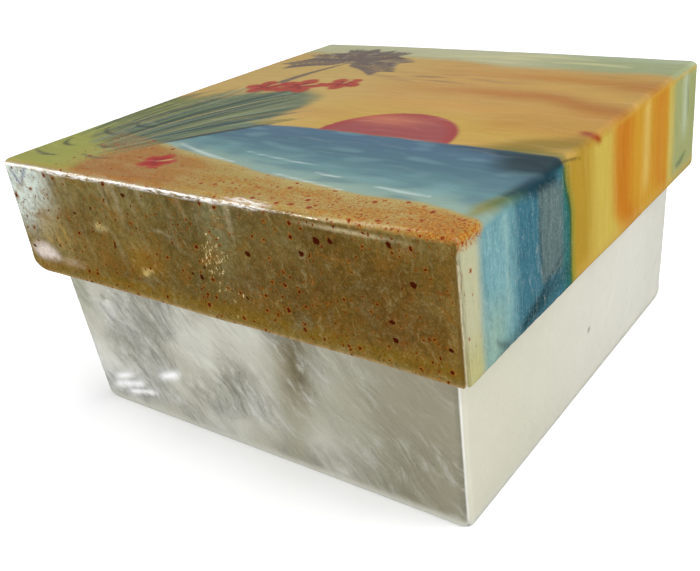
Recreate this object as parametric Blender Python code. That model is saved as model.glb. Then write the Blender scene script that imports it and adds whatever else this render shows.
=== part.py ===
"""Square keepsake box of laminated capiz shell, with a lift-off lid.

Two pieces: the base, a hollow tray whose walls lean in towards its foot, and
the lid, a hollow cap that rests on the base's rim. Lengths are in metres. The
origin is the centre of the underside, the front faces -Y and +Z is up.
"""
import math

import bmesh
import bpy
from mathutils import Vector

MM = 0.001

# The lid
lid_width = 101.6 * MM
lid_depth = 23.4 * MM
lid_wall = 2.4 * MM
lid_corner_radius = 1.2 * MM
lid_top_radius = 1.4 * MM
lid_lip_radius = 0.4 * MM
lid_inner_radius = 0.8 * MM
lid_crown = 0.5 * MM

# The base
base_height = 52.7 * MM
base_wall = 2.4 * MM
base_floor = 2.4 * MM
base_lean = 1.7 * MM
base_corner_radius = 1.8 * MM
base_foot_radius = 0.8 * MM
base_rim_radius = 0.8 * MM
base_inner_radius = 0.8 * MM

# Room between the pieces, beside the rim and above it
side_clearance = 0.65 * MM
seat_gap = 0.3 * MM

# Fineness of the faceted outlines
corner_steps = 8
side_steps = 6
edge_steps = 5
cap_scales = (0.8, 0.55, 0.3)
sharp_angle = math.radians(40)

# Heights and half widths that follow from these sizes
lid_half = lid_width / 2
lid_ceiling = base_height + seat_gap
lid_top = lid_ceiling + lid_wall
lid_bottom = lid_top - lid_depth
base_rim_half = lid_half - lid_wall - side_clearance


def lid_wall_half(height):
    """Half width of the lid's outer wall, which is upright."""
    return lid_half


def base_wall_half(height):
    """Half width of the base's outer wall, which leans in to its foot."""
    return base_rim_half - base_lean * (base_height - height) / base_height


def lid_lift(x, y, height):
    """Rise of the crowned lid: none at its corners and none at its lip."""
    nearness = 1 - (x * x + y * y) / (2 * lid_half * lid_half)
    return lid_crown * nearness * (height - lid_bottom) / lid_depth


def no_lift(x, y, height):
    """The base is flat, above and below."""
    return 0


def rounded_profile(path):
    """Points (inset, height) along a path of legs whose corners are rounded.

    The path's first and last points only give the way that its ends run.
    """
    points = []
    for index in range(1, len(path) - 1):
        inset, height, radius = path[index]
        corner = Vector((inset, height))
        before = (Vector(path[index - 1][:2]) - corner).normalized()
        after = (Vector(path[index + 1][:2]) - corner).normalized()
        centre = corner + (before + after) * radius
        for step in range(edge_steps + 1):
            angle = math.pi / 2 * step / edge_steps
            points.append(centre - after * radius * math.cos(angle) - before * radius * math.sin(angle))
    return points


def square_outline(half, corner_radius):
    """Points round a square with rounded corners, anticlockwise from above."""
    flat = half - corner_radius
    quarter = []
    for step in range(corner_steps + 1):
        angle = math.pi / 2 * step / corner_steps
        quarter.append(
            (flat + corner_radius * math.cos(angle), flat + corner_radius * math.sin(angle)))
    for step in range(1, side_steps):
        quarter.append((flat - 2 * flat * step / side_steps, half))
    outline = []
    for _ in range(4):
        outline.extend(quarter)
        quarter = [(-y, x) for x, y in quarter]
    return outline


def add_ring(mesh, outline, height, lift):
    """A loop of vertices at a height, raised by the piece's own lift."""
    return [mesh.verts.new((x, y, height + lift(x, y, height))) for x, y in outline]


def join_rings(mesh, first, second):
    """Quads between two loops that have as many vertices."""
    for index in range(len(first)):
        mesh.faces.new((first[index - 1], first[index], second[index], second[index - 1]))


def add_flat(mesh, ring, outline, height, lift):
    """Fills a loop with smaller loops, and with a fan round the middle."""
    for scale in cap_scales:
        smaller = add_ring(mesh, [(x * scale, y * scale) for x, y in outline], height, lift)
        join_rings(mesh, ring, smaller)
        ring = smaller
    middle = mesh.verts.new((0, 0, height + lift(0, 0, height)))
    for index in range(len(ring)):
        mesh.faces.new((ring[index - 1], ring[index], middle))


def make_hollow(name, path, wall_half, corner_radius, inner_radius, lift, material):
    """A closed hollow piece: a wall's profile run round a rounded square."""
    mesh = bmesh.new()
    levels = []
    for inset, height in rounded_profile(path):
        outline = square_outline(wall_half(height) - inset, max(corner_radius - inset, inner_radius))
        levels.append((add_ring(mesh, outline, height, lift), outline, height))
    for index in range(1, len(levels)):
        join_rings(mesh, levels[index - 1][0], levels[index][0])
    for ring, outline, height in (levels[0], levels[-1]):
        add_flat(mesh, ring, outline, height, lift)
    bmesh.ops.recalc_face_normals(mesh, faces=mesh.faces)
    data = bpy.data.meshes.new(name)
    mesh.to_mesh(data)
    mesh.free()
    data.shade_smooth()
    data.set_sharp_from_angle(angle=sharp_angle)
    data.materials.append(material)
    piece = bpy.data.objects.new(name, data)
    bpy.context.scene.collection.objects.link(piece)
    return piece


def make_material(name, colour, roughness):
    """Clear lacquer over shell: glossy, and not a metal."""
    material = bpy.data.materials.new(name)
    material.use_nodes = True
    shader = material.node_tree.nodes["Principled BSDF"]
    shader.inputs["Base Color"].default_value = (*colour, 1)
    shader.inputs["Roughness"].default_value = roughness
    shader.inputs["Metallic"].default_value = 0
    return material


def make_lid():
    """From the top down the outside, round the lip and up the inside."""
    path = (
        (lid_half, lid_top),
        (0, lid_top, lid_top_radius),
        (0, lid_bottom, lid_lip_radius),
        (lid_wall, lid_bottom, lid_lip_radius),
        (lid_wall, lid_ceiling, lid_inner_radius),
        (lid_half, lid_ceiling),
    )
    material = make_material("lid_lacquer", (0.46, 0.33, 0.14), 0.18)
    return make_hollow(
        "lid", path, lid_wall_half, lid_corner_radius, lid_inner_radius, lid_lift, material)


def make_base():
    """From the underside up the outside, over the rim and down the inside."""
    path = (
        (lid_half, 0),
        (0, 0, base_foot_radius),
        (0, base_height, base_rim_radius),
        (base_wall, base_height, base_rim_radius),
        (base_wall, base_floor, base_inner_radius),
        (lid_half, base_floor),
    )
    material = make_material("base_shell", (0.71, 0.71, 0.66), 0.24)
    return make_hollow(
        "base", path, base_wall_half, base_corner_radius, base_inner_radius, no_lift, material)


for old in list(bpy.data.objects):
    bpy.data.objects.remove(old, do_unlink=True)

make_base()
make_lid()
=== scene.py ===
"""The looks of a square capiz shell box: painted, lacquered lid on a pearly base.

Lengths are in millimetres while a piece is shaped, and in metres on its mesh.
The front faces -Y, the right side +X, and the box stands on the floor at z 0.
"""
import math
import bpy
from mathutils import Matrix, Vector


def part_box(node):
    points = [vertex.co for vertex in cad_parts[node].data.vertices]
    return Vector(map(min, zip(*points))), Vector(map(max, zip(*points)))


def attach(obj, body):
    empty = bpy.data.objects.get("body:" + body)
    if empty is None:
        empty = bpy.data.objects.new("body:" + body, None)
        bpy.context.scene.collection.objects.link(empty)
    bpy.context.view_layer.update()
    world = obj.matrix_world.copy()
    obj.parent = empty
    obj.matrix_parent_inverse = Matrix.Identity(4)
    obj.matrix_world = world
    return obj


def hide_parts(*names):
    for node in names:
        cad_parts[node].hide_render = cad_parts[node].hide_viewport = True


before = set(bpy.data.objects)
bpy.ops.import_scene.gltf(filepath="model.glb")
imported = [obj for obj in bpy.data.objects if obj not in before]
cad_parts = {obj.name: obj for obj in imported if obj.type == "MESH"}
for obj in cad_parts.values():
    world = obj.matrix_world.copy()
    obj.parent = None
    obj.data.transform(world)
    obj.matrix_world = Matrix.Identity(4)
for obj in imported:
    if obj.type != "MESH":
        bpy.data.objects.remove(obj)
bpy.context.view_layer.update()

from types import SimpleNamespace

import bmesh
import bpy
import numpy as np
from mathutils import Euler, Vector, noise

MM = 0.001

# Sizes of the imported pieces, and the radii that shape them
lid_low, lid_high = (tuple(value / MM for value in corner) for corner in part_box("lid"))
base_high = tuple(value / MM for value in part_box("base")[1])
LID_CROWN = 0.5
LID_WALL = 2.4
LID_CORNER = 1.2
LID_TOP_RADIUS = 1.4
LID_LIP_RADIUS = 0.4
LID_INNER_RADIUS = 0.8
LID_HALF = lid_high[0]
LID_TOP = lid_high[2] - LID_CROWN
LID_BOTTOM = lid_low[2]
LID_DEPTH = LID_TOP - LID_BOTTOM
LID_UNFOLDED = LID_HALF + LID_TOP + (math.pi / 2 - 2) * LID_TOP_RADIUS
BASE_HEIGHT = base_high[2]
BASE_RIM_HALF = base_high[0]
BASE_LEAN = 1.7
BASE_WALL = 2.4
BASE_FLOOR = 2.4
BASE_CORNER = 1.8
BASE_FOOT_RADIUS = 0.8
BASE_RIM_RADIUS = 0.8
BASE_INNER_RADIUS = 0.8
HIDDEN_BY_LID = 33

# Spans along half a side, on surfaces that show and on hidden ones
FINE = 100
COARSE = 25
CROWDING = 0.09

# How squarely a vertex faces a side: outside its mask, and fully in it
MASK_START, MASK_FULL = 0.62, 0.8


# Numbers and colours

def ease(value, low, high):
    """0 at low, 1 at high, eased between them; low may be the larger."""
    share = np.clip((value - low) / (high - low), 0, 1)
    return share * share * (3 - 2 * share)


def bell(value, middle, width):
    """1 at the middle, falling away on both sides."""
    return np.exp(-((value - middle) / width) ** 2)


def ink(colour):
    """A display colour, in percent, as linear light."""
    display = np.array(colour) / 100
    return np.where(display <= 0.04045, display / 12.92, ((display + 0.055) / 1.055) ** 2.4)


def ripple(x, y, z, seed=0):
    """Smooth noise from -1 to 1 at places counted in its own wavelengths."""
    shift = Vector((17.3, 5.1, 9.7)) * seed
    places = np.column_stack(np.broadcast_arrays(x, y, z))
    return np.array([noise.noise(Vector(place) + shift) for place in places])


def round_off(skin, half, bottom, corners):
    """Lifts a wall's lower edge round standing corners, as worn corners are."""
    along = np.abs(np.abs(skin.x) - np.abs(skin.y))
    for side_x, side_y, radius in corners:
        rise = radius - np.sqrt(radius ** 2 - np.clip(radius - along, 0, radius) ** 2)
        apart = np.hypot(skin.x - side_x * half, skin.y - side_y * half)
        near = ease(apart, 3.2 * radius + 2, 1.2 * radius + 2)
        skin.z += rise * near * ease(skin.z, bottom + 2.5 * radius, bottom)


def add_object(name, data):
    """A new object in the scene."""
    made = bpy.data.objects.new(name, data)
    bpy.context.scene.collection.objects.link(made)
    return made


# The closed hollow form that both pieces share

def outline(half, corner, spans):
    """A rounded square's points, closer at its corners, and the way each faces."""
    share = np.arange(-spans, spans) / spans
    share = share * (1 + CROWDING - CROWDING * np.abs(share) ** 7)
    reach = np.abs(share) * half
    flat = half - corner
    angle = np.clip((reach - flat) / max(corner, 1e-9), 0, 1) * math.pi / 4
    sign = np.sign(share)
    x = np.where(reach > flat, flat + corner * np.cos(angle), half)
    y = np.where(reach > flat, sign * (flat + corner * np.sin(angle)), share * half)
    facing_x, facing_y = np.cos(angle), sign * np.sin(angle)
    points, facings = [], []
    for _ in range(4):
        points.append(np.column_stack((x, y)))
        facings.append(np.column_stack((facing_x, facing_y)))
        x, y, facing_x, facing_y = -y, x, -facing_y, facing_x
    return np.concatenate(points), np.concatenate(facings)


def loop_places(size, spans):
    """Where a grid keeps its loop of a size, in the outline's own order."""
    side = np.arange(-size, size)
    fixed = np.full(2 * size, size)
    column = np.concatenate((fixed, -side, -fixed, side))
    row = np.concatenate((side, fixed, -side, -fixed))
    return (row + spans) * (2 * spans + 1) + column + spans


def profile_points(path, turn):
    """Points down a path of straight legs and rounded corners.

    A path entry is inset, height, radius, steps round the corner, spacing on
    the leg that follows and spans of the loops there. The first and last
    entries only give the way that the path's ends run. turn is 1 where the
    path goes down the outside and -1 where it goes up.
    """
    points = []
    for index in range(1, len(path) - 1):
        inset, height, radius, steps, spacing, spans = path[index]
        corner = Vector((inset, height))
        before = (Vector(path[index - 1][:2]) - corner).normalized()
        after = (Vector(path[index + 1][:2]) - corner).normalized()
        ways = [Vector((-before.y, before.x)) * turn, Vector((after.y, -after.x)) * turn]
        centre = corner + (before + after) * radius
        for step in range(steps + 1):
            angle = math.pi / 2 * step / max(steps, 1)
            place = centre - after * radius * math.cos(angle) - before * radius * math.sin(angle)
            way = ways[0] * math.cos(angle) + ways[1] * math.sin(angle)
            points.append((place, way, spans))
        if index + 2 < len(path):
            start = corner + after * radius
            end = Vector(path[index + 1][:2]) - after * path[index + 1][2]
            rows = max(1, round((end - start).length / spacing))
            for row in range(1, rows):
                points.append((start.lerp(end, row / rows), ways[1], spans))
    return points


class Form:
    """A closed form of loops round a rounded square, between two flats."""

    def __init__(self, wall_half, corner, least_corner, lift):
        self.wall_half, self.lift = wall_half, lift
        self.corner, self.least_corner = corner, least_corner
        self.blocks, self.faces, self.count = [], [], 0

    def add(self, xy, height, way, facing, drop, slide, outside):
        """Vertices, with what the finishes need to know about each."""
        total = len(xy)
        z = height + self.lift(xy[:, 0], xy[:, 1], height)
        ways = np.column_stack((facing * way[0], np.full(total, way[1])))
        facts = np.tile((drop, slide, outside), (total, 1))
        self.blocks.append(np.column_stack((xy, z, ways, facing, facts)))
        self.count += total
        return self.count - total + np.arange(total)

    def loop_at(self, place, spans, share=1):
        """The outline at a place (inset, height) of the profile, or a smaller copy."""
        inset, height = place
        corner = max(self.corner - inset, self.least_corner)
        return outline((self.wall_half(height) - inset) * share, corner * share, spans)

    def flat(self, place, up, spans, outside):
        """A grid of square loops that fills the profile's end."""
        width = 2 * spans + 1
        xy = np.zeros((width ** 2, 2))
        for size in range(1, spans + 1):
            xy[loop_places(size, spans)] = self.loop_at(place, size, size / spans)[0]
        start = self.add(xy, place[1], (0, up), np.zeros_like(xy), 0, 0, outside)[0]
        for line in range(2 * spans):
            low = start + line * width + np.arange(2 * spans)
            self.faces.extend(np.column_stack((low, low + 1, low + 1 + width, low + width)).tolist())
        return start + loop_places(spans, spans)

    def join(self, first, second):
        """Faces between two loops; one may have a multiple of the other's vertices."""
        many, few = (first, second) if len(first) > len(second) else (second, first)
        share = len(many) // len(few)
        for index in range(len(few)):
            corners = [int(many[(index * share + step) % len(many)]) for step in range(share + 1)]
            self.faces.append([int(few[index]), *corners, int(few[(index + 1) % len(few)])])

    def build(self, path, turn, outer_spans, inner_spans, inner_inset):
        """The outer flat, the wall's loops and the inner flat.

        Past inner_inset the wall is inside. Each flat's outer loop stands for
        the profile's first or last point.
        """
        points = profile_points(path, turn)
        first = points[0][0]
        before = self.flat(first, turn, outer_spans, 1)
        edge_half = self.wall_half(first[1]) - first[0]
        drop, last = 0, first
        for place, way, spans in points[1:-1]:
            drop += (place - last).length
            last = place
            xy, facing = self.loop_at(place, spans)
            shift = self.wall_half(place[1]) - place[0] - edge_half
            way = (-way[0], way[1])
            loop = self.add(xy, place[1], way, facing, drop, drop - shift, place[0] < inner_inset)
            self.join(before, loop)
            before = loop
        self.join(before, self.flat(points[-1][0], -turn, inner_spans, 0))

    def skin(self):
        """Each vertex's facts by name, its masks and its unfolded place (u, v)."""
        names = "x y z way_x way_y way_z facing_x facing_y drop slide outside".split()
        columns = np.concatenate(self.blocks).T
        skin = SimpleNamespace(**{name: column.copy() for name, column in zip(names, columns)})
        skin.u = skin.x + skin.facing_x * skin.slide
        skin.v = skin.y + skin.facing_y * skin.slide
        skin.front = ease(-skin.facing_y, MASK_START, MASK_FULL)
        skin.right = ease(skin.facing_x, MASK_START, MASK_FULL)
        skin.left = ease(-skin.facing_x, MASK_START, MASK_FULL)
        skin.turned = np.minimum(np.abs(skin.facing_x), np.abs(skin.facing_y))
        return skin


def shell_object(name, node, form, skin, relief, materials, layers):
    """The finished piece: relief along each vertex's way, and layers of data."""
    places = np.column_stack((skin.x, skin.y, skin.z))
    places += np.column_stack((skin.way_x, skin.way_y, skin.way_z)) * relief[:, None]
    data = bpy.data.meshes.new(name)
    data.from_pydata((places * MM).tolist(), [], form.faces)
    mesh = bmesh.new()
    mesh.from_mesh(data)
    bmesh.ops.recalc_face_normals(mesh, faces=mesh.faces)
    mesh.to_mesh(data)
    mesh.free()
    for layer, values in layers.items():
        kind, field = ("FLOAT_COLOR", "color") if values.shape[1] == 4 else ("FLOAT_VECTOR", "vector")
        made = data.attributes.new(layer, kind, "POINT")
        made.data.foreach_set(field, values.astype(np.float32).ravel())
    for material in materials:
        data.materials.append(material)
    outside = skin.outside > 0.5
    inside_faces = [0 if all(outside[vertex] for vertex in face) else 1 for face in form.faces]
    data.polygons.foreach_set("material_index", inside_faces)
    data.shade_smooth()
    data.update()
    piece = add_object(name, data)
    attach(piece, "root")
    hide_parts(node)


# Painting: areas, strokes, fronds and blossoms on the unfolded lid

def heading(angle):
    """The unit step at an angle, and the one across it."""
    way = np.array((math.cos(angle), math.sin(angle)))
    return way, np.array((-way[1], way[0]))


def curve(ends, share):
    """A place on the bent line through a start, a bend and an end."""
    return (1 - share) ** 2 * ends[0] + 2 * share * (1 - share) * ends[1] + share * share * ends[2]


class Canvas:
    """Linear colours at a skin's vertices, painted over in unfolded places."""

    def __init__(self, skin, *colour):
        self.u, self.v = skin.u, skin.v
        self.rgb = np.tile(ink(colour), (len(skin.u), 1))
        self.dots = np.zeros(len(skin.u))

    def brush(self, mask=1):
        """A function that lays colours inside a mask, each by a cover from 0 to 1."""
        def lay(cover, *colour):
            self.rgb += (ink(colour) - self.rgb) * np.clip(mask * cover, 0, 1)[:, None]
        return lay

    def stroke(self, start, bend, end, width, colour, strength=1, soft=0.45, shape=0.5):
        """A bent brush stroke; shape says where along it it is widest."""
        reach = width + soft
        ends = np.array((start, bend, end), float)
        low, high = ends.min(0) - reach, ends.max(0) + reach
        near = np.flatnonzero(
            (self.u > low[0]) & (self.u < high[0]) & (self.v > low[1]) & (self.v < high[1]))
        if not len(near):
            return
        spot = np.column_stack((self.u[near], self.v[near]))
        cover = np.zeros(len(near))
        shares = np.linspace(0, 1, 15)
        line = [curve(ends, share) for share in shares]
        for index in range(1, len(line)):
            leg = line[index] - line[index - 1]
            along = np.clip((spot - line[index - 1]) @ leg / max(leg @ leg, 1e-9), 0, 1)
            apart = np.linalg.norm(spot - line[index - 1] - along[:, None] * leg, axis=1)
            share = shares[index - 1] + along / (len(line) - 1)
            swell = np.where(share < shape, share / max(shape, 0.01), (1 - share) / max(1 - shape, 0.01))
            half = width / 2 * np.sqrt(np.clip(swell, 0, 1))
            cover = np.maximum(cover, ease(apart, half + soft / 2, half - soft / 2) * (half > 0.02))
        self.rgb[near] += (ink(colour) - self.rgb[near]) * (cover * strength)[:, None]

    def strokes(self, rows, soft, unfold):
        """Strokes by rows of three places on a side, a width, a colour and a strength."""
        for *places, width, colour, strength in rows:
            self.stroke(*(unfold(*place) for place in places), width, colour, strength, soft)

    def dot(self, place, width):
        """A dark drop under the lacquer."""
        apart = np.hypot(self.u - place[0], 1.15 * (self.v - place[1]))
        self.dots = np.maximum(self.dots, ease(apart, 0.65 * width, 0.2 * width))

    def frond(self, root, bend, tip, leaf_length, leaves, dark, light):
        """A palm frond: a bent rib with tapering leaves on both sides."""
        ends = np.array((root, bend, tip), float)
        for index in range(1, leaves + 1):
            share = index / (leaves + 1)
            place = curve(ends, share)
            way = (1 - share) * (ends[1] - ends[0]) + share * (ends[2] - ends[1])
            way /= np.linalg.norm(way)
            across = np.array((-way[1], way[0]))
            length = leaf_length * (0.45 + 0.55 * math.sin(math.pi * (0.2 + 0.7 * share)))
            for side in (-1, 1):
                leaf = place + (way * 0.8 + across * side * 0.75) * length
                middle = place + (way * 0.3 + across * side * 0.55) * length
                colour = light if (index + (side > 0)) % 3 == 0 else dark
                self.stroke(place, middle, leaf, 1.7, colour, 0.85, shape=0.35)
        self.stroke(root, bend, tip, 1.1, light, 0.8, shape=0.2)

    def blossom(self, middle, radius, turn, petal, deep, heart):
        """A five-petalled flower with a darker throat and a pale stamen."""
        middle = np.array(middle, float)
        for index in range(5):
            way, across = heading(turn + index * math.tau / 5)
            bend = middle + (way * 0.6 + across * 0.15) * radius
            way = way * radius
            self.stroke(middle, bend, middle + way, radius * 0.85, petal, 0.92, shape=0.62)
            self.stroke(middle, middle + way * 0.3, middle + way * 0.7, radius * 0.16, deep, 0.7, shape=0.3)
        way = heading(turn + 0.5)[0] * radius
        self.stroke(middle, middle + way * 0.4, middle + way * 0.85, radius * 0.2, heart, 0.95, shape=0.8)


# Node trees written as arithmetic

def arithmetic(operation):
    return lambda first, second: first.graph.math(operation, first, second)


class Wire:
    """A value in a material's node tree."""

    def __init__(self, graph, socket):
        self.graph = graph
        self.socket = socket

    __add__ = __radd__ = arithmetic("ADD")
    __mul__ = __rmul__ = arithmetic("MULTIPLY")
    __sub__ = arithmetic("SUBTRACT")

    def __rsub__(self, other):
        return self.graph.math("SUBTRACT", other, self)

    def step(self, low, high):
        """0 at low and 1 at high, eased."""
        inputs = {"Value": self, "From Min": low, "From Max": high}
        return self.graph.node("MapRange", inputs, interpolation_type="SMOOTHSTEP")

    def parts(self, kind="SeparateXYZ"):
        made = self.graph.node(kind, {0: self})
        return [Wire(self.graph, output) for output in made.socket.node.outputs]


class Graph:
    """The node tree of a material or world, written line by line."""

    def __init__(self, owner, shader="Principled BSDF"):
        owner.use_nodes = True
        self.tree = owner.node_tree
        self.shader = self.tree.nodes[shader]
        self.colour = None

    def node(self, kind, inputs, output=0, **settings):
        """A new node with its inputs fed, as the wire from one of its outputs."""
        made = self.tree.nodes.new("ShaderNode" + kind)
        for name, value in settings.items():
            setattr(made, name, value)
        for name, value in inputs.items():
            self.feed(made.inputs[name], value)
        return Wire(self, made.outputs[output])

    def feed(self, socket, value):
        """Links a wire to a socket, or sets the socket's own value."""
        if isinstance(value, Wire):
            self.tree.links.new(value.socket, socket)
        elif socket.type == "RGBA":
            socket.default_value = (*value, 1)
        else:
            socket.default_value = value

    def math(self, operation, first, second):
        return self.node("Math", {0: first, 1: second}, operation=operation)

    def attribute(self, name, output):
        return self.node("Attribute", {}, output, attribute_type="GEOMETRY", attribute_name=name)

    def place(self, x, y, z=0):
        return self.node("CombineXYZ", {0: x, 1: y, 2: z})

    def noise(self, place, detail, rough=0.5, bend=0, scale=1, output="Fac"):
        inputs = {"Vector": self.place(*place), "Scale": scale, "Detail": detail,
                  "Roughness": rough, "Distortion": bend}
        return self.node("TexNoise", inputs, output, noise_dimensions="3D")

    def mix(self, first, second, share):
        inputs = {"Factor": share, 6: first, 7: second}
        return self.node("Mix", inputs, 2, data_type="RGBA", clamp_factor=True)

    def lay(self, colour, share):
        """Mixes a colour over the graph's own colour."""
        self.colour = self.mix(self.colour, colour, share)

    def specks(self, x, y, spacing, radius, share, seed):
        """Scattered grains and their soft rims; share says how many cells hold one."""
        inputs = {"Vector": self.place(x + seed * 3.7, y + seed * 8.1), "Scale": 1 / spacing}
        cells = self.node("TexVoronoi", inputs, "Color", voronoi_dimensions="2D")
        chance, size, _ = cells.parts("SeparateColor")
        distance = Wire(self, cells.socket.node.outputs["Distance"])
        nearness = (size * 0.65 + 0.35) * (radius / spacing) - distance
        chosen = self.math("LESS_THAN", chance, share)
        soft = 0.3 * radius / spacing
        return [nearness.step(low, low + soft) * chosen for low in (-0.2 * soft, -1.6 * soft)]

    def bump(self, height, depth, strength):
        """A normal from heights; depth is their full range in metres."""
        return self.node("Bump", {"Height": height, "Distance": depth, "Strength": strength})

    def set(self, **values):
        for name, value in values.items():
            self.feed(self.shader.inputs[name.replace("_", " ")], value)


# The lid

def lid_lift(x, y, height):
    """Rise of the crowned lid: none at its corners and none at its lip."""
    nearness = 1 - (x * x + y * y) / (2 * LID_HALF * LID_HALF)
    return LID_CROWN * nearness * (height - LID_BOTTOM) / LID_DEPTH


def lid_form():
    form = Form(lambda height: LID_HALF, LID_CORNER, LID_INNER_RADIUS, lid_lift)
    ceiling = LID_TOP - LID_WALL
    path = (
        (LID_HALF, LID_TOP),
        (0, LID_TOP, LID_TOP_RADIUS, 8, 0.55, FINE),
        (0, LID_BOTTOM, LID_LIP_RADIUS, 4, 0.5, FINE),
        (LID_WALL, LID_BOTTOM, LID_LIP_RADIUS, 3, 3.5, FINE // 2),
        (LID_WALL, ceiling, LID_INNER_RADIUS, 3, 1, COARSE),
        (LID_HALF, ceiling),
    )
    form.build(path, 1, FINE, COARSE, LID_WALL - 0.05)
    return form


def lid_relief(skin):
    """Hand-made unevenness, shell fibres, a plate seam, a swollen lip and worn ridges."""
    x, y, z, u, v, drop = skin.x, skin.y, skin.z, skin.u, skin.v, skin.drop
    side = ease(drop, 1.5, 4)
    front = ease(-skin.facing_y, 0.6, 0.85) * side
    relief = 0.1 * ripple(x / 26, y / 26, z / 15, 1) - 0.16
    relief += (1 - side) * 0.03 * ripple(x / 8, y / 8, 0, 2)
    relief += bell(drop, 1.7, 0.9) * (0.07 * ripple(u / 2.6, v / 2.6, 0, 3) + 0.04 * ripple(u, v / 0.8, 0, 7))
    relief += side * 0.02 * ripple(u / 1.6, v / 1.6, z / 14, 4)
    seam_x = 5.2 + 0.5 * ripple(0, 0, z / 5, 5)
    relief += front * 0.1 * ease(x, seam_x + 0.5, seam_x - 0.1) * ease(x, seam_x - 22, seam_x)
    relief += side * 0.08 * bell(z, LID_BOTTOM + 1.3, 1.1)
    relief += side * skin.right * ease(y, -13, -18) * 0.06 * ripple(y / 1.4, z / 7, 0, 9)
    ridge = side * ease(skin.turned, 0.3, 0.65)
    relief -= ridge * (0.1 + 0.16 * ripple(x / 40, y / 40, z / 2.2, 8))
    return np.minimum(relief, -0.01) * skin.outside


def sag_lip(skin):
    """The lip's height wavers, and its corners are rounded off."""
    low = ease(skin.z, LID_BOTTOM + 4, LID_BOTTOM + 0.5)
    waver = 0.12 * ripple(skin.x / 17, skin.y / 17, 0, 6)
    corner = np.hypot(skin.x - LID_HALF, skin.y + LID_HALF)
    middle = np.hypot(skin.x + 20, skin.y + LID_HALF)
    skin.z += low * (waver - 0.3 * bell(corner, 0, 12) + 0.3 * bell(middle, 0, 18))
    round_off(skin, LID_HALF, LID_BOTTOM, ((-1, -1, 4.2), (1, 1, 2.4), (-1, 1, 3.2), (1, -1, 0.5)))


def on_front(x, z):
    """The unfolded place of a point on the lid's front."""
    return x, z - LID_UNFOLDED


def on_right(y, z):
    """The unfolded place of a point on the lid's right side."""
    return LID_UNFOLDED - z, y


def shoreline(u):
    """Where the sand meets the water, across the picture."""
    return -43.6 + 10.4 * np.clip((48 - u) / 72, 0, 2) ** 1.6 + 1.9 * bell(u, 39, 8)


def brink(u):
    """Where the water meets the sky, across the picture and down its right side."""
    return -17 - 1.4 * ease(u, 0, -16) - 1 * ease(u, 48.5, 52) + 2.4 * ease(u, 52, 61)


def lid_paint(skin):
    """A beach at sunset: broad areas on top that run down over the sides."""
    u, v, drop = skin.u, skin.v, skin.drop
    top = ease(drop, 3, 1.2)
    right = skin.right * (1 - top)
    front = skin.front * ease(drop, 1, 1.9)
    loose = ripple(u / 11, v / 11, 0, 11)
    fine = ripple(u / 3, v / 1.2, 0, 12)

    canvas = Canvas(skin, 71, 56, 30)
    paint_sky(canvas, loose)
    horizon = brink(u) + 0.25 * fine * (1 - right)
    shore = shoreline(u) + 0.8 * loose * (1 - right) + 0.3 * fine
    sea = ease(v, horizon + 0.4, horizon - 0.4)
    paint_sea(canvas, sea, horizon, shore, loose, right)
    paint_sand(canvas, shore)
    paint_sun(canvas, sea)
    paint_waves(canvas)
    paint_leaves(canvas)
    paint_right(canvas, skin, right, fine)
    paint_left(canvas, skin, skin.left * (1 - top))
    paint_front(canvas, skin, front, loose)
    paint_edges(canvas, skin)
    return np.column_stack((canvas.rgb, canvas.dots)), front


def paint_sky(canvas, loose):
    """Bands of sky that sink towards the right, and a pale back with a painted sheen at its left."""
    u, v = canvas.u, canvas.v
    lay = canvas.brush()

    def band(middle, width, low, high, strength, *colour):
        """A band that comes in from u at low to u at high."""
        lay(strength * bell(v, middle, width) * ease(u, low, high), *colour)

    lay(bell(v, -9 + 2 * loose, 9), 71, 58, 26)
    lay(ease(u, 5, -20) * 0.5, 73, 64, 38)
    bend = ease(u, 30, 52)
    band(14.5 + loose - 8.5 * bend, 3.4 + bend, -16, 44, 0.9, 64, 36, 12)
    band(28 + loose - 2.5 * bend, 3 + bend, -12, 46, 0.8, 68, 43, 14)
    band(21 + loose - 5 * bend, 2.5, 0, 50, 0.5, 78, 62, 30)
    band(9 + loose, 4, 34, 49, 0.5, 56, 28, 5)
    band(26 + loose, 3, 36, 49, 0.4, 56, 28, 5)
    band(4 + 2 * loose, 3, -20, 30, 0.4, 76, 55, 27)
    haze = np.hypot((u - 46) / 13, (v + 12 - 0.5 * (u - 46)) / 5) + 0.3 * loose
    lay(ease(haze, 1.3, 0.3) * ease(u, 53, 50) * 0.85, 50, 41, 13)
    band(-4 + 2 * loose, 5, 24, 34, 0.45, 66, 44, 16)
    band(-8 + loose, 4, 6, -4, 0.3, 70, 46, 30)
    lay(0.35 * ease(u, 16, 42) * ease(v, -10, 2), 64, 50, 20)
    smudge = ripple(u / 9, v / 1.6, 0, 14)
    lay(ease(smudge, 0, 0.5) * bell(v, 22, 4.5) * bell(u, 2, 18) * 0.6, 46, 35, 30)
    band(33, 4, 10, 40, ease(smudge, 0, 0.6) * 0.35, 50, 38, 26)
    back_edge = 33 + 1.2 * loose + 4 * ease(u, 20, -20)
    lay = canvas.brush(ease(v, back_edge, back_edge + 5.5))
    lay(1, 57, 60, 44)
    lay(ease(v, 42, 52), 64, 68, 56)
    # painted sheen: the back paler towards the left
    lay(ease(u, 34, 8) * 0.65, 74, 72, 58)


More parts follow.
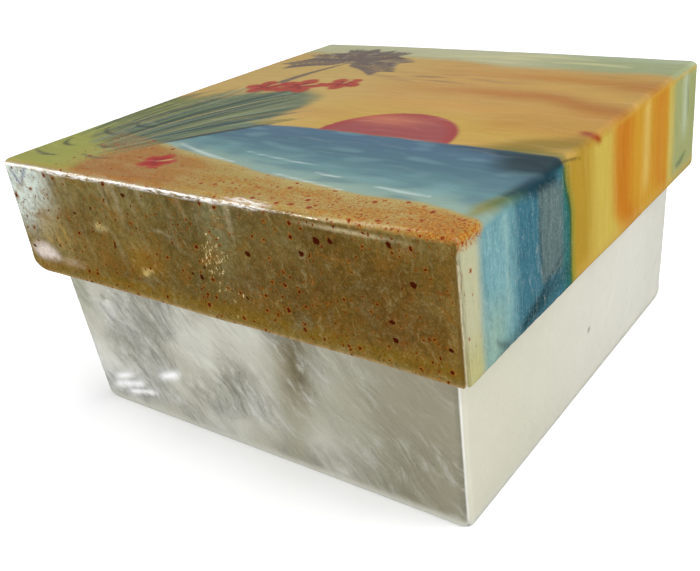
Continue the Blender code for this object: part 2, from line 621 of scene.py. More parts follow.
def paint_sea(canvas, sea, horizon, shore, loose, right):
    """Water, darker towards the horizon and darkest at its right end."""
    u, v = canvas.u, canvas.v
    lay = canvas.brush(sea)
    lay(1, 27, 38, 46)
    depth = (v - shore) / (horizon - shore)
    lay(ease(depth, 0.95, 0.5), 28, 40.5, 45)
    lay(ease(depth, 0.6, 0.2) * 0.8, 38.5, 53, 53)
    lay(ease(depth, 0.3, 0) * 0.8, 54, 62, 56)
    patches = ripple(u / 7, v / 2.6, 0, 13)
    lay(ease(patches, 0.05, 0.5) * 0.4, 28, 40, 46)
    lay(ease(patches, -0.05, -0.5) * 0.3, 46, 60, 62)
    lay(bell(v - horizon, -0.8, 1.6) * ease(u, 22, 40) * 0.8, 10, 20, 24)
    gloom = np.hypot((u - 48) / 8, (v + 21.5) / 5.5) + 0.35 * loose
    lay(ease(gloom, 1.3, 0.4) * 0.9, 7, 16.5, 18)
    lay = canvas.brush(1 - right)
    lay(bell(v - horizon, 0.8, 0.9) * ease(u, 30, 46) * 0.6, 30, 36, 16)


def paint_sand(canvas, shore):
    """Sand with a damp edge, redder towards the left and the front."""
    u, v = canvas.u, canvas.v
    lay = canvas.brush()
    lay(ease(v, shore + 0.5, shore - 0.5), 62, 56, 34)
    dry = ease(v, shore - 0.5, shore - 3)
    lay(dry, 57, 47.5, 20)
    lay(ease(v, shore - 0.3, shore - 1.5) * ease(u, 35, 44) * 0.6, 60, 42, 15)
    lay(dry * ease(u, 4, -16) * 0.85, 56, 36, 13)
    lay(ease(v, shore - 1, shore - 4) * ease(u, -5, 40) * 0.45, 58, 42, 18)
    lay(ease(v, -45, -49) * ease(u, -44, -34) * ease(u, 10, -20) * 0.6, 52, 31, 10)


def paint_sun(canvas, sea):
    """A low coral sun that the horizon cuts, deeper along its rim."""
    middle_u, middle_v, radius, soft = 14.5, -17.5, 14.3, 0.3
    apart = np.hypot(canvas.u - middle_u, canvas.v - middle_v)
    lay = canvas.brush(ease(apart, radius + soft, radius - soft) * (1 - sea))
    lay(1, 56, 27, 26.5)
    lay(ease(apart, 11, 13.6) * 0.7, 58, 20, 19)
    lay(bell(canvas.v, -8, 3) * bell(canvas.u, 10, 8) * 0.5, 80, 50, 34)


def paint_waves(canvas):
    """Thin foam lines, roughly along the shore."""
    foam = (80, 84, 82)
    for *places, width in (
            ((-21, -32.2), (-12, -35.8), (-2, -37.2), 0.7), ((15.5, -36.6), (18, -37.2), (21, -37), 0.5),
            ((-4, -32), (6, -33.6), (14, -33.8), 0.3), ((8, -39.2), (16, -40.4), (25, -41.6), 0.4),
            ((28.5, -38.3), (33.5, -39.1), (39.5, -38.8), 0.6)):
        canvas.stroke(*places, width, foam, 0.6, soft=0.6)


def paint_right(canvas, skin, right, fine):
    """Cream shell, streaked water, a grey patch and the sky's bands."""
    z, v = skin.z, skin.v
    line = brink(skin.u)
    on_side = canvas.brush(right)
    on_side(ease(v, -42, -45), 70, 70, 57)
    on_side(ease(v, -43, -46) * ease(z, 42, 34) * 0.6, 68, 66, 40)

    water = right * ease(v, -46.8, -42.8 + 0.5 * fine) * ease(v, line + 0.4, line - 0.4)
    lay = canvas.brush(water)
    lay(1, 24, 44, 50)
    lay(ease(v, -33 + fine, -37.4 + fine), 46, 64, 66)
    lay(bell(v, -37.4 + 0.9 * fine, 0.7) * ease(z, 36, 40) * 0.4, 60, 72, 68)
    lay(ease(z, 46, 36) * ease(v, -35, -42) * 0.5, 62, 70, 58)
    patch = ease(v, -27.8 + 0.8 * fine, -26 + 0.8 * fine) * ease(v, -16.4, -19)
    patch = patch * ease(z, 36.6, 38 + 0.8 * fine) * ease(z + 0.3 * (v + 20), 53.6, 51.6)
    lay(patch * 0.85, 38, 45, 44)
    lay(bell(v, -17, 1.6) * 0.8, 14, 42, 40)
    lay(bell(z - 33.6 - 0.16 * (v + 30), 0, 1.8) * ease(v, -44, -38) * 0.6, 17, 31, 32)

    lay = canvas.brush(right * ease(v, line + 0.2, line + 1.2))
    slide = v - 0.9 * np.clip(38 - z, 0, 6) + 0.9 * ripple(v / 5, z / 9, 0, 15)
    lay(1, 66, 53, 18)
    lay(ease(v, -10, -3), 74, 65, 30)
    lay(ease(slide, 0, 7), 74, 49, 14)
    lay(bell(slide, 8, 4) * 0.6, 71, 42, 12)
    lay(ease(slide, 9, 16), 75, 56, 18)
    lay(bell(v, 20, 2) * ease(z, 34, 40) * 0.7, 80, 69, 38)
    lay(bell(slide, 27.5, 4) * 0.75, 74, 48, 16)
    lay(ease(v, 31.5, 34), 74, 66, 34)
    lay(ease(v, 34, 38), 60, 62, 42)
    lay(bell(v, 43, 1.8) * ease(z, 38, 44) * 0.6, 72, 76, 66)
    lay(bell(z, LID_BOTTOM + 1, 1.3) * 0.5, 74, 60, 30)

    on_side(bell(v, line + 0.1, 0.7), 16, 36, 22)
    on_side(bell(v, line + 1.2, 0.8) * 0.6, 50, 52, 18)
    dark, green = (7, 18, 22), (26, 36, 30)
    canvas.strokes((
        ((-34, 33.2), (-29, 34.2), (-23, 37.4), 1.8, dark, 0.7),
        ((-30, 33), (-25, 34.4), (-19, 38), 1.2, dark, 0.55),
        ((-42, 35.4), (-40, 33.2), (-37.5, 32.8), 1.2, dark, 0.5),
        ((-26.6, 50.5), (-27.6, 44), (-25.2, 37.4), 0.8, dark, 0.5),
        ((-25.4, 37), (-21, 38.4), (-15.8, 40.4), 0.5, dark, 0.8),
        ((38, 35.5), (41, 35), (45, 37), 1.6, green, 0.5),
        ((44, 52), (45.5, 48), (45, 44), 1.4, green, 0.3)), 0.9, on_right)


def paint_left(canvas, skin, left):
    """Leaves run over the edge, then the sky."""
    v = skin.v
    fall = v + 2.5 * ripple(v / 3, skin.z / 12, 0, 16)
    lay = canvas.brush(left)
    lay(1, 72, 56, 28)
    lay(ease(fall, 10, 3), 60, 56, 28)
    lay(ease(fall, 2, -5), 46, 52, 28)
    lay(ease(v, -46, -49), 66, 68, 56)
    lay(ease(v, 33, 40), 57, 62, 47)


def paint_front(canvas, skin, front, loose):
    """Bare shell seen through golden lacquer, with clouds, wisps and painted glints."""
    x, z = skin.x, skin.z
    wide = ripple(x / 9, z / 5, 0, 32)
    lay = canvas.brush(front)
    lay(1, 41, 32, 13)
    lay(ease(x, 24, -24) * 0.8, 47, 39, 19)
    lay(ease(x, -26, -42) * 0.7, 56, 49, 30)
    lay(ease(z, 44, 52) * ease(x, 34, 10) * 0.5, 45, 42, 26)
    lay(ease(wide, 0.05, 0.5) * 0.3, 54, 46, 25)
    lay(ease(wide, -0.05, -0.5) * 0.4, 36, 26, 9)
    lay(ease(z, 45, 37) * ease(loose, -0.4, 0.4) * 0.4, 48, 34, 10)
    corner = np.hypot(x + 49.5, z - 55)
    lay(ease(corner + 2 * wide, 17, 6), 82, 86, 82)
    lay(ease(x, 46, 50) * 0.3, 58, 46, 22)
    # the small pale patch at (-25, 45) is a painted glint
    for middle_x, middle_z, reach_x, reach_z, strength, *colour in (
            (-14, 40.6, 5, 3, 0.55, 58, 42, 10),
            (-25, 45, 2, 0.9, 0.6, 72, 66, 46),
            (-45, 36.2, 3.8, 2.4, 0.95, 88, 83, 79),
            (-36.8, 34.9, 3.8, 1.6, 0.6, 78, 70, 60),
            (-41.5, 43, 3.5, 4, 0.4, 68, 62, 46),
            (14, 43, 9, 4, 0.4, 38, 30, 17),
            (41, 42, 7, 6, 0.4, 40, 27, 10)):
        apart = np.hypot((x - middle_x) / reach_x, (z - middle_z) / reach_z) + 0.25 * wide
        lay(ease(apart, 1.5, 0.4) * strength, *colour)
    lay(bell(x, 5.5, 3.4) * ease(z, 45, 50) * 0.5, 48, 49, 37)
    lay(bell(x, -2, 9) * 0.5, 34, 29, 14)
    paint_wisps(canvas)
    for dot_x, dot_z, width in (
            (11.4, 46.2, 1.5), (22.9, 48.3, 1.3), (26.3, 51, 1.7), (28.9, 51.4, 1.3), (39.5, 52.7, 1.3),
            (43, 47.2, 1.5), (38.5, 40.2, 1.4), (38.8, 37.2, 1.2), (48.4, 38, 1.1), (-0.6, 39.8, 1.3),
            (0.6, 41.8, 0.9), (-2.6, 40.1, 0.9), (-16.4, 52.2, 1.2), (-14.8, 50.4, 0.9), (-48.3, 37.4, 1.2),
            (-39.6, 38.9, 1), (-22.3, 41.7, 0.9), (-26.6, 48.3, 0.9), (-31.8, 46.9, 0.9), (9.3, 37.9, 0.9)):
        canvas.dot(on_front(dot_x, dot_z), width)
    pale, straw, glow = (64, 59, 46), (70, 56, 28), (88, 78, 50)
    rust, blue = (48, 24, 6), (42, 45, 56)
    canvas.strokes((
        # painted glints: short pale gold strokes
        ((-16.6, 38.3), (-14.8, 37.9), (-12.9, 38.6), 0.7, glow, 0.9),
        ((-16, 37.4), (-15.4, 37.2), (-14.6, 37.4), 0.6, glow, 0.7),
        ((-26.4, 45), (-25.4, 45.6), (-24.4, 45.2), 0.6, glow, 0.8),
        ((-11.5, 47.2), (-8.5, 46.8), (-5, 45.8), 0.5, pale, 0.6),
        ((-37.5, 44), (-37, 42), (-36, 40), 0.9, straw, 0.6),
        ((-40, 42), (-39.4, 40), (-38.4, 38), 0.8, straw, 0.5),
        ((-43.5, 41), (-42.5, 39.8), (-41, 39.2), 0.7, straw, 0.5),
        ((37, 39.2), (38.4, 40.2), (39.6, 41.6), 0.6, rust, 0.7),
        ((45.6, 46.2), (47, 47), (49, 46.8), 0.5, rust, 0.7),
        ((40, 43.2), (42, 44.4), (43, 46), 0.5, rust, 0.4),
        ((41.6, 52.4), (42.4, 52.6), (43.6, 52.4), 0.6, rust, 0.8),
        ((39.2, 36.4), (40, 37), (40.8, 37.8), 0.6, rust, 0.8),
        ((-42.6, 55.2), (-45.2, 52.6), (-46.4, 50.4), 0.8, blue, 0.8),
        ((-46.4, 50.4), (-47.4, 51.6), (-48.8, 54), 0.8, blue, 0.8)), 0.5, on_front)
    seam = x - 5 - 0.6 * np.sin(z / 3)
    lay(bell(seam, 0, 2.4) * ease(z, 35.5, 39) * 0.3, 50, 49, 34)
    band = LID_BOTTOM + 3.4 + 0.5 * loose
    lay(ease(z, band + 1, band - 0.8) * 0.9, 48, 37, 11)
    lay(ease(z, LID_BOTTOM + 1.9, LID_BOTTOM + 1) * 0.6, 52, 45, 24)
    lay(ease(z, LID_BOTTOM + 0.75, LID_BOTTOM + 0.35) * 0.8, 70, 58, 40)


def falling(start, high, lean, length):
    """Three places down a slanting line on the lid's front."""
    return [on_front(start + lean * share * length, high - share * length) for share in (0, 0.5, 1)]


def paint_wisps(canvas):
    """Pale and dark wisps that hang in the front's lacquer."""
    pale, umber = (64, 59, 46), (36, 29, 14)
    wisps = np.random.default_rng(7)
    for low, high, count, heights, lengths, leans, widths, strengths in (
            (-46, 3, 26, (43, 54), (3, 8), (0.1, 0.7), (0.5, 1.4), (0.1, 0.28)),
            (4, 50, 24, (37, 52), (2, 6), (-1.2, 1.6), (0.4, 1), (0.04, 0.1))):
        for start in wisps.uniform(low, high, count):
            top, length, lean = (wisps.uniform(*span) for span in (heights, lengths, leans))
            width, strength = wisps.uniform(*widths), wisps.uniform(*strengths)
            canvas.stroke(*falling(start, top, lean, length), width, pale, strength, soft=1.4)
    for start in wisps.uniform(-42, 9, 34):
        length, lean = wisps.uniform(2, 8), wisps.uniform(0, 0.5)
        colour = pale if wisps.uniform() < 0.6 else umber
        width, strength = wisps.uniform(0.5, 1.6), wisps.uniform(0.25, 0.55)
        places = falling(start, 54.8, lean, length)
        canvas.stroke(*places, width, colour, strength, soft=0.7, shape=0.1)


def paint_edges(canvas, skin):
    """Painted highlights along the front edge, and smears along the right edge."""
    lay = canvas.brush(skin.front * bell(skin.drop, 1.6, 0.55))
    # painted highlight: the front edge paler towards the left
    lay(ease(skin.x, 26, 10) * 0.3, 76, 72, 62)
    # two thin painted highlight lines along the right part of the front edge
    highlight_streak = (82, 76, 60)
    canvas.stroke((22, -51.2), (34, -50.6), (46, -49.7), 0.5, highlight_streak, 0.85, soft=0.5)
    canvas.stroke((20, -51.9), (34, -52.2), (48.5, -52.5), 0.4, highlight_streak, 0.8, soft=0.5)
    for *places, width, colour, strength in (
            ((48.4, -43), (48.4, -39.5), (49.6, -35), 3.2, (48, 46, 18), 0.8),
            ((49, -39), (50, -35), (51, -30), 2.6, (26, 36, 20), 0.7),
            ((49.2, -35), (51.2, -28), (52.4, -20), 3.2, (7, 19, 23), 0.9),
            ((38, -18.6), (45, -19.6), (50.6, -23), 1.4, (6, 14, 16), 0.6),
            ((48, -4.2), (49, -4.9), (50.1, -5.3), 1.7, (52, 8, 2), 1),
            ((50.3, -5.3), (51, -4.2), (52, -2.8), 1.4, (54, 10, 3), 1),
            ((50.4, -19.2), (51.2, -14.8), (52.2, -11.3), 0.4, (20, 16, 8), 0.8)):
        canvas.stroke(*places, width, colour, strength, soft=min(2.6, 1.5 * width))


def paint_leaves(canvas):
    """Long grass, red blossoms, a dark palm crown, soft clouds and a few dark strokes."""
    u, v = canvas.u, canvas.v
    lay = canvas.brush()
    loose = ripple(u / 7, v / 7, 0, 21)
    bank_edge = -33 + 3 * loose - 0.1 * v
    bank = ease(u, bank_edge, bank_edge - 6) * ease(v, -4, -10)
    lay(bank * ease(np.abs(u), 53, 50) * ease(v, -52, -49), 55.5, 56.5, 25)
    apart = np.hypot((u + 29 - 0.35 * (v + 15)) / 15, (v + 14) / 21)
    lay(ease(apart + 0.14 * loose, 1.05, 0.8) * ease(u, -52, -50) * 0.9, 33, 40, 32)
    shade = (16, 22, 20)
    broad = ((24, 31, 25), (35, 45, 45), (44, 48, 26), (52, 56, 44), shade)
    thin = ((62, 56, 34), shade, (20, 27, 22), (42, 47, 24), shade)
    blades = np.random.default_rng(5)
    broad_blades, thin_blades = 56, 54
    for index in range(broad_blades + thin_blades):
        spread = blades.uniform(0, 1)
        root = np.array((-46 + 16 * spread, -33 - 8 * spread)) + blades.uniform(-2.5, 2.5, 2)
        tip = np.array((-45 + 37 * spread, -3 + 9 * math.sin(math.pi * spread) - 14 * spread ** 3))
        tip = tip + blades.uniform(-4, 4, 2)
        bend = (root + tip) / 2 + np.array((-0.35, 0.2)) * blades.uniform(0, 16)
        tone = broad[blades.integers(0, len(broad))]
        crisp = index >= broad_blades
        tone = thin[index % len(thin)] if crisp else tone
        width = blades.uniform(0.5, 1.1) if crisp else blades.uniform(0.8, 2.4)
        canvas.stroke(root, bend, tip, width, tone, blades.uniform(0.35, 0.7), soft=0.5 if crisp else 1.2)

    plum, faded = (38, 32, 29), (46, 42, 36)
    crown, fronds = np.array((-29, 30)), 7
    for index in range(fronds):
        way = heading(math.radians(-15 + 34 * index))[0]
        tip = crown + way * 15 + np.array((0, -2.5))
        bend = crown + way * 9 + np.array((0, 3))
        canvas.frond(crown, bend, tip, 5.5, 9, plum, faded if index % 2 else plum)
    canvas.stroke((-33, 3), (-34, 18), crown, 2.4, plum, 0.85, shape=0.3)
    coral, red, deep, straw = (62, 18, 13), (60, 10, 9), (36, 6, 5), (72, 62, 36)
    for middle, radius, turn, petal in (
            ((-26, 8.5), 5.4, 0.3, coral), ((-17, 12.5), 4.4, 1, coral),
            ((-34, 6), 4.6, 0.7, coral), ((-16.7, -41.6), 3.4, 0.2, red)):
        canvas.blossom(middle, radius, turn, petal, deep, straw)
    cream, sketch = (76, 74, 54), (14, 15, 18)
    for *places, width in (
            ((-8, 42), (4, 44.5), (17, 42.5), 2.6), ((6, 45.5), (18, 47), (30, 45), 2.2),
            ((20, 41), (30, 42.8), (40, 40.5), 2), ((-2, 39), (6, 39.8), (14, 38.6), 1.2)):
        canvas.stroke(*places, width, cream, 0.6, soft=1.6)
    for places in (
            ((-48, -36), (-46.5, -41), (-42, -40)), ((-46, -29), (-42, -34), (-38, -31)),
            ((-42, -24), (-39, -29), (-35, -25)), ((-37, -38), (-34, -40), (-32, -37)),
            ((-49, -44), (-44, -46.5), (-40, -45)), ((-36, -43), (-31, -45), (-27, -43))):
        canvas.stroke(*places, 1, sketch, 0.75, soft=0.5)


def lid_marks(skin, front):
    """How much each vertex shows shell, specks, golden glitter with painted glints, and a bare ridge."""
    x, y, z, u, v, drop = skin.x, skin.y, skin.z, skin.u, skin.v, skin.drop
    side = ease(drop, 1.6, 3)
    right = skin.right * side
    bare = right * ease(v, -13.5, -17) * (1 - 0.75 * ease(v, -43, -46))
    shell = np.clip(front + bare + 0.1 * side, 0, 1)
    sand = ease(v, shoreline(u) + 0.3, shoreline(u) - 1.5) * ease(drop, 4, 2)
    sand *= (0.45 + 0.55 * ease(u, -20, 35)) * ease(u + 0.4 * (v + 50), -38, -28)
    sand *= ease(np.hypot(u + 16.7, v + 41.6), 2.4, 4)
    specks = np.clip(sand + front * (0.55 + 0.2 * ripple(x / 8, z / 8, 0, 33)), 0, 1)
    specks = np.maximum(specks, right * ease(v, -44, -48) * 0.1)
    specks *= 1 - front * ease(np.hypot((x + 44) / 7, (z - 36) / 3), 1.3, 0.9)
    first = bell(x, 1.9 + 0.1 * (z - 44), 1.2) * ease(z, 50, 46) * ease(z, 39, 42)
    second = bell(x, 4.6 + 0.2 * (z - 42), 1.2) * ease(z, 49, 46) * ease(z, 36.5, 39)
    flakes_and_glints = front * np.clip(first + second + 0.15 * bell(x, 5, 3), 0, 1)
    ridge = ease(skin.turned, 0.55, 0.69) * ease(drop, 2.5, 5) * skin.outside
    ridge *= ease(y, 30, -30) * (0.4 + 0.6 * ease(x, -30, 30))
    return np.column_stack((shell, specks, flakes_and_glints, ridge))


def painted_glare_edge(skin, front):
    """Where a broken glare line is painted along the top front edge."""
    waver = 0.5 * ripple(skin.x / 5, 0, 0, 34)
    line = front * bell(skin.drop, 1.5 + waver, 1.15) * ease(skin.x, 32, 12)
    line *= 0.75 + 0.25 * ease(skin.x, -46, -34)
    spread = 0.8 * bell(skin.v, -50.2, 1.2) * bell(skin.x, 13, 9)
    return np.maximum(line, spread)


def lid_material():
    """Paint and bare shell under thick clear lacquer."""
    material = bpy.data.materials.new("painted_lacquer")
    g = Graph(material)
    # edge: where the glare line is painted along the top front edge
    u, v, edge = g.attribute("unfold", "Vector").parts()
    shell, specks, flakes_and_glints = g.attribute("marks", "Color").parts("SeparateColor")
    ridge, dots = g.attribute("marks", "Alpha"), g.attribute("paint", "Alpha")
    front = v.step(-50, -51.6)
    painted = 1 - shell

    warp = g.noise((u * 0.06, v * 0.06), 2)
    brush = g.noise((u * 0.07, v * 0.7 + warp * 5), 3)
    slant = u * 0.9 + (v + 60) * (warp - 0.4) * 1.6
    fibre = g.noise((slant, v * 0.34), 5, 0.65, 1.6)
    down = g.noise((u * 0.22, v * 1.3 + warp * 4), 5, 0.68, 1.4)
    silk = fibre * front + down * (1 - front)
    blotch = g.noise((u * 0.22, v * 0.22), 4, 0.6, 0.6)
    cloud = g.noise((u * 0.5, v * 0.38, 3), 5, 0.68, 1.2)
    mottle = g.noise((u * 0.9, v * 0.9), 3, 0.6)
    grain = g.noise((u * 2.2, v * 2.2), 2, 0.6)

    g.colour = g.attribute("paint", "Color")
    dark = g.mix((0, 0, 0), g.colour, 0.6)
    light = g.mix((0.62, 0.62, 0.54), (0.42, 0.36, 0.17), front)
    g.lay(dark, brush.step(0.58, 0.32) * painted * 0.14)
    g.lay((0.8, 0.72, 0.55), brush.step(0.54, 0.78) * painted * 0.07)
    g.lay(dark, silk.step(0.52, 0.28) * shell * (0.75 - front * 0.45))
    g.lay(light, silk.step(0.52, 0.8) * shell * (0.42 - front * 0.2))
    g.lay((0.22, 0.1, 0.014), blotch.step(0.52, 0.68) * front * 0.6)
    g.lay((0.18, 0.15, 0.07), blotch.step(0.46, 0.28) * front * 0.6)
    g.lay((0.05, 0.026, 0.004), cloud.step(0.5, 0.28) * front * 0.5)
    g.lay(light, cloud.step(0.52, 0.75) * front * 0.35)
    g.lay(dark, mottle.step(0.54, 0.3) * (shell * 0.35 + front * 0.35))
    g.lay(light, grain.step(0.52, 0.75) * shell * 0.2)
    g.lay(dark, grain.step(0.5, 0.28) * (front * 0.2 + 0.2))

    sandy = specks * painted
    heap = g.noise((u * 0.16, v * 0.3, 9), 3, 0.6).step(0.42, 0.6)
    heap = g.math("MAXIMUM", heap * 0.8, (u - v * 0.4).step(57, 66))
    g.lay((0.42, 0.34, 0.14), (1 - heap) * sandy * 0.35)
    g.lay((0.42, 0.19, 0.02), mottle.step(0.4, 0.6) * heap * sandy * 0.7)
    g.lay((0.3, 0.06, 0.004), grain.step(0.5, 0.6) * sandy * (heap * 0.7 + 0.2))
    g.lay((0.48, 0.4, 0.13), grain.step(0.46, 0.34) * sandy * (0.5 - heap * 0.3))

    jitter_u, jitter_v, _ = g.noise((u * 2.4, v * 2.4), 1, output="Color").parts()
    cluster = g.noise((u * 0.14, v * 0.14, 4), 2).step(0.4, 0.62)
    density = specks * (cluster * 0.7 + 0.5)
    red = g.mix((0.2, 0.02, 0.003), (0.075, 0.006, 0.002), front)
    for spacing, radius, share, strength, seed in (
            (0.62, 0.14, 0.75 - front * 0.4, 0.7, 1), (1.25, 0.26, 0.7 - front * 0.22, 0.9, 2),
            (2.7, 0.46, 0.6, 0.95, 3)):
        core, rim = g.specks(u + jitter_u * 0.8, v + jitter_v * 0.8, spacing, radius, density * share, seed)
        g.lay((0.36, 0.12, 0.01), rim * (0.5 * strength))
        g.lay(red, core * strength)
    # golden glitter laid as painted glints, each with a soft rim
    glints, glow = g.specks(u * 1.3 + jitter_u * 1.4, v * 0.6 + jitter_v, 0.5, 0.19, flakes_and_glints * 0.45, 4)
    g.lay((0.4, 0.28, 0.07), glow * 0.5)
    g.lay((0.78, 0.66, 0.4), glints * mottle.step(0.35, 0.6) * 0.8)
    g.lay((0.78, 0.7, 0.46), ridge * (mottle.step(0.36, 0.52) * 0.85 + 0.1))
    drops = (dots + mottle * 0.6 + grain * 0.4).step(0.95, 1.08)
    g.lay((0.16, 0.05, 0.006), (drops + dots).step(0.3, 1) * 0.5)
    g.lay((0.045, 0.004, 0.001), drops * 0.95)
    # painted highlight: a broken pale glare line along the top front edge
    glare_breaks = g.noise((u * 0.5, v * 2 + warp * 3), 6, 0.78).step(0.44, 0.54)
    g.lay((0.8, 0.76, 0.72), glare_breaks * edge.step(0.45, 0.85) * 0.9)

    g.set(Base_Color=g.colour, Roughness=silk.step(0.2, 0.9) * 0.15 + 0.3, Metallic=shell * 0.15)
    g.set(Specular_IOR_Level=0, Coat_Roughness=0.04, Coat_IOR=1.3, Coat_Weight=1)
    waves = g.noise((u * 0.35, v * 0.35), 3, 0.55)
    crinkle = g.noise((u * 0.7, v * 2.4), 4, 0.7)
    swell = waves * (front * 0.15 + 0.1) + crinkle * edge * 0.3
    g.set(Normal=g.bump(silk, 0.0005, 0.4), Coat_Normal=g.bump(swell, 0.0004, 1))
    return material


def plain_shell(name, colour):
    """An inside's bare shell, with faint growth lines."""
    material = bpy.data.materials.new(name)
    g = Graph(material)
    x, y, z = g.node("TexCoord", {}, "Object").parts()
    lines = g.noise((x * 260, y * 260, z * 700), 3, 0.6, 0.8)
    pale = g.mix(colour, (0.82, 0.8, 0.72), lines.step(0.35, 0.75) * 0.6)
    g.set(Base_Color=pale, Roughness=lines.step(0.2, 0.8) * 0.15 + 0.35)
    g.set(Normal=g.bump(lines, 0.0004, 0.4))
    return material


def make_lid():
    form = lid_form()
    skin = form.skin()
    paint, front = lid_paint(skin)
    layers = {
        "paint": paint,
        "marks": lid_marks(skin, front),
        "unfold": np.column_stack((skin.u, skin.v, painted_glare_edge(skin, front))),
    }
    relief = lid_relief(skin)
    sag_lip(skin)
    materials = (lid_material(), plain_shell("lid_inside", (0.6, 0.54, 0.38)))
    shell_object("painted_lid", "lid", form, skin, relief, materials, layers)


# The base

def base_form():
    form = Form(lambda height: BASE_RIM_HALF - BASE_LEAN * (BASE_HEIGHT - height) / BASE_HEIGHT,
                BASE_CORNER, BASE_INNER_RADIUS, lambda x, y, height: 0 * x)
    path = (
        (LID_HALF, 0),
        (0, 0, BASE_FOOT_RADIUS, 8, 0.5, FINE),
        (0, HIDDEN_BY_LID, 0, 0, 4, COARSE),
        (0, BASE_HEIGHT, BASE_RIM_RADIUS, 3, 1, COARSE),
        (BASE_WALL, BASE_HEIGHT, BASE_RIM_RADIUS, 3, 6, COARSE),
        (BASE_WALL, BASE_FLOOR, BASE_INNER_RADIUS, 3, 1, COARSE),
        (LID_HALF, BASE_FLOOR),
    )
    form.build(path, -1, COARSE, COARSE, BASE_WALL - 0.05)
    return form


def base_seam(skin):
    """Signed distance across each side's plate seam, which slants and bends."""
    along = np.where(
        np.abs(skin.facing_y) > 0.7, -skin.x * np.sign(skin.facing_y), skin.y * np.sign(skin.facing_x))
    bend = 21.7 - 8.6 * np.clip(skin.z / 28, 0, 1.2) ** 1.7
    return along - bend - 0.4 * ripple(0, skin.facing_x, skin.z / 4, 41)


def base_relief(skin):
    """Panel unevenness, slanting growth ripples and the plates' overlap."""
    x, y, z = skin.x, skin.y, skin.z
    side = ease(skin.drop, 1, 3.5)
    calm = ease(skin.facing_x, 0.6, 0.9)
    along = x * -skin.facing_y + y * skin.facing_x
    relief = 0.13 * ripple(x / 24, y / 24, z / 13, 51) - 0.13
    slant = along * 0.75 + z * 0.65
    ripples = ripple(slant / 2.4, (along - z) / 9, skin.facing_x * 3, 52)
    fine = ripple(slant / 1.2, (along - z) / 4, skin.facing_x * 3, 53)
    relief += side * (1 - 0.8 * calm) * (0.055 * ripples + 0.022 * fine)
    seam = base_seam(skin)
    relief += side * (1 - calm) * 0.06 * ease(seam, 0.9, -0.6) * ease(seam, -16, -2)
    return np.minimum(relief, -0.01) * skin.outside * ease(skin.drop, 0.5, 2.5)


def wear_foot(skin):
    """The foot's corners are rounded off, least at the front right."""
    corners = ((-1, -1, 3.6), (1, 1, 4), (-1, 1, 3.6), (1, -1, 0.6))
    round_off(skin, BASE_RIM_HALF - BASE_LEAN, 0, corners)


def painted_highlights(x, z):
    """Painted highlights: bright white strokes low on the front's left."""
    total = 0 * x
    for start, end, width in (((-42.6, 3.9), (-31.8, 7), 1.2), ((-41, 6.4), (-35, 8.2), 0.9),
                              ((-25.7, 10.5), (-19.4, 12.7), 1.1), ((-38, 3.6), (-29, 5.6), 0.7)):
        slope = (end[1] - start[1]) / (end[0] - start[0])
        span = ease(x, start[0] - 2, start[0] + 2) * ease(x, end[0] + 2, end[0] - 2)
        total = np.maximum(total, span * bell(z - start[1] - slope * (x - start[0]), 0, width))
    return total


def base_paint(skin):
    """Pearl white, with olive shade at the seams and towards some corners, and painted highlights low on the
    front's left.
    """
    x, y, z = skin.x, skin.y, skin.z
    canvas = Canvas(skin, 80, 80, 75)
    side = ease(skin.drop, 1, 3)
    front = ease(-skin.facing_y, 0.6, 0.8) * side
    right = ease(skin.facing_x, 0.6, 0.8) * side
    loose = ripple(x / 10, y / 10, z / 10, 61)
    lay = canvas.brush(front)
    lay(0.75 * ease(loose, -0.3, 0.6), 72, 71, 64)
    lay(ease(x, 6, 36) * 0.92, 55, 53, 44)
    lay(ease(x, -24, -44) * ease(z, 20, 8) * 0.7, 90, 90, 87)

    on_plain = canvas.brush((front + 0.4 * (side - right)).clip(0, 1))
    stain = np.where(np.abs(skin.facing_y) > 0.7, x, y) - 13.6 + 0.16 * (28 - z) - loose
    on_plain(bell(stain, 0, 3.8) * ease(z, 8, 24) * 0.9, 41, 37, 22)
    on_plain(bell(base_seam(skin), -0.6, 1.2) * ease(z, 16, 24) * 0.3, 42, 39, 28)
    on_plain(bell(stain + 1, 0, 5) * 0.5, 54, 51, 40)

    # painted highlights, laid in white
    lay(painted_highlights(x, z), 100, 100, 100)
    lay(ease(np.hypot(x + 36.6, z - 26.6), 1.1, 0.5) * 0.6, 45, 46, 38)
    lay(bell(x, -43.5, 2.4) * bell(z, 27, 5) * 0.6, 60, 60, 46)
    lay = canvas.brush(right)
    lay(1, 82, 81, 73.5)
    lay(ease(y, -40, 30), 89, 88.5, 84)
    lay(ease(np.hypot(y - 2, z - 13), 0.75, 0.35) * 0.8, 50, 36, 26)
    canvas.brush(side)(ease(z, 1.6, 0.6) * 0.5, 58, 50, 38)
    return canvas.rgb


def base_marks(skin):
    """Silkiness, and the bare white ridge of each standing edge."""
    side = ease(skin.drop, 1, 3)
    front = ease(-skin.facing_y, 0.6, 0.9)
    silk = side * (1 - 0.88 * ease(skin.facing_x, 0.6, 0.9)) * (1 - 0.68 * front * ease(skin.x, 2, 24))
    silk *= (1 - 0.8 * front * painted_highlights(skin.x, skin.z)) * (1 - 0.6 * (1 - front))
    ridge = ease(skin.turned, 0.58, 0.695) * side * skin.outside
    return np.column_stack((silk, ridge, 0 * silk))


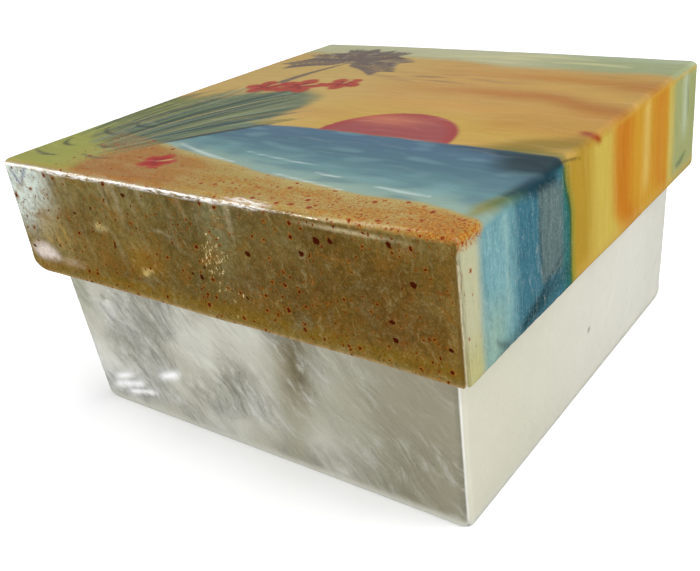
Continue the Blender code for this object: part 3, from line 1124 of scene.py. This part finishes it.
def base_material():
    """Bare mother-of-pearl plates under clear lacquer."""
    material = bpy.data.materials.new("pearl_lacquer")
    g = Graph(material)
    silk, ridge, _ = g.attribute("marks", "Vector").parts()
    x, y, z = g.node("TexCoord", {}, "Object").parts()
    along = (x + y) * 1000
    high = z * 1000
    warp = g.noise((along * 0.05, high * 0.05, x * 30), 2)
    slant = along * 0.75 + high * 0.65 + warp * 9
    ripples = g.noise((slant * 0.75, (high - along) * 0.13, x * 20), 7, 0.66, 0.4)
    folds = g.noise((slant * 0.3, (high - along) * 0.1, x * 20 + 5), 3, 0.55, 0.4)
    pores = g.noise((along, high, x * 40), 4, 0.65, 0.8, 1.4)
    clouds = g.noise((along * 0.11, high * 0.11, x * 40), 3, 0.55, 0.5)
    calm = g.noise((along * 0.05, high * 0.07, x * 25), 2).step(0.62, 0.4)
    silk = silk * (calm * 0.75 + 0.25)

    g.colour = g.attribute("paint", "Vector")
    deep = g.mix((0, 0, 0), g.colour, 0.62)
    pearl, white = (0.84, 0.84, 0.8), (0.92, 0.92, 0.89)
    g.lay(deep, ripples.step(0.5, 0.36) * silk * 0.75)
    g.lay(deep, pores.step(0.5, 0.34) * silk * 0.5)
    g.lay(pearl, ripples.step(0.51, 0.66) * silk * 0.6)
    g.lay(pearl, pores.step(0.52, 0.72) * silk * 0.25)
    g.lay((0.4, 0.39, 0.33), clouds.step(0.5, 0.28) * silk * 0.6)
    g.lay(white, folds.step(0.54, 0.72) * silk * 0.45)
    g.lay(deep, folds.step(0.48, 0.32) * silk * 0.45)
    g.lay((0.92, 0.91, 0.86), ridge * 0.8)
    g.set(Base_Color=g.colour, Roughness=ripples.step(0.2, 0.9) * 0.15 + 0.3, Metallic=silk * 0.3)
    g.set(Specular_IOR_Level=0.3, Coat_Weight=1, Coat_Roughness=0.05, Coat_IOR=1.38)
    g.set(Normal=g.bump((ripples * 0.7 + folds * 0.3) * (silk * 0.8 + 0.2), 0.0014, 0.9))
    g.set(Coat_Normal=g.bump(clouds, 0.0006, 0.25))
    return material


def make_base():
    form = base_form()
    skin = form.skin()
    layers = {"paint": base_paint(skin), "marks": base_marks(skin)}
    relief = base_relief(skin)
    wear_foot(skin)
    materials = (base_material(), plain_shell("base_inside", (0.72, 0.71, 0.64)))
    shell_object("pearl_base", "base", form, skin, relief, materials, layers)


# The studio

def make_floor():
    """A plain pale floor, wide enough to fill the view."""
    data = bpy.data.meshes.new("floor")
    reach = 6
    corners = [(-reach, -reach, 0), (reach, -reach, 0), (reach, reach, 0), (-reach, reach, 0)]
    data.from_pydata(corners, [], [(0, 1, 2, 3)])
    material = bpy.data.materials.new("floor_paper")
    g = Graph(material)
    g.set(Base_Color=(0.93, 0.93, 0.93), Roughness=0.9, Specular_IOR_Level=0)
    g.set(Emission_Color=(1, 1, 1), Emission_Strength=0.14)
    data.materials.append(material)
    floor = add_object("floor", data)
    floor.visible_glossy = False


def make_light(name, way, distance, width, height, power):
    """A soft box that looks at the box from a direction."""
    data = bpy.data.lights.new(name, "AREA")
    data.shape = "RECTANGLE"
    data.size, data.size_y, data.energy = width, height, power
    light = add_object(name, data)
    way = Vector(way).normalized()
    light.location = way * distance + Vector((0, 0, 0.03))
    light.rotation_euler = way.to_track_quat("Z", "Y").to_euler()


def make_studio():
    world = bpy.data.worlds.new("studio")
    g = Graph(world, "Background")
    _, _, height = g.node("TexCoord", {}, "Generated").parts()
    inputs = {"Value": height, "From Min": -0.1, "From Max": 0.9, "To Max": 0.62}
    g.set(Color=(0.96, 0.98, 1), Strength=g.node("MapRange", inputs))
    bpy.context.scene.world = world
    make_light("key", (0.75, 0.15, 0.65), 1.2, 0.9, 0.9, 11)
    make_light("overhead", (0.1, 0.15, 1), 1.4, 0.9, 0.9, 8)
    make_light("window", (-0.76, -0.58, 0.24), 1.2, 0.55, 0.18, 11)
    bpy.context.scene.view_settings.view_transform = "Standard"


def make_camera():
    """The photograph's view, from fitting the box's edges."""
    data = bpy.data.cameras.new("camera")
    data.sensor_width, data.lens, data.shift_x = 36, 44.41, -0.107
    data.clip_start, data.clip_end = 0.01, 50
    camera = add_object("camera", data)
    camera.location = (0.10604, -0.13686, 0.10083)
    camera.rotation_euler = Euler((1.102, 0.086, 0.573), "XYZ")
    bpy.context.scene.camera = camera


make_lid()
make_base()
make_floor()
make_studio()
make_camera()
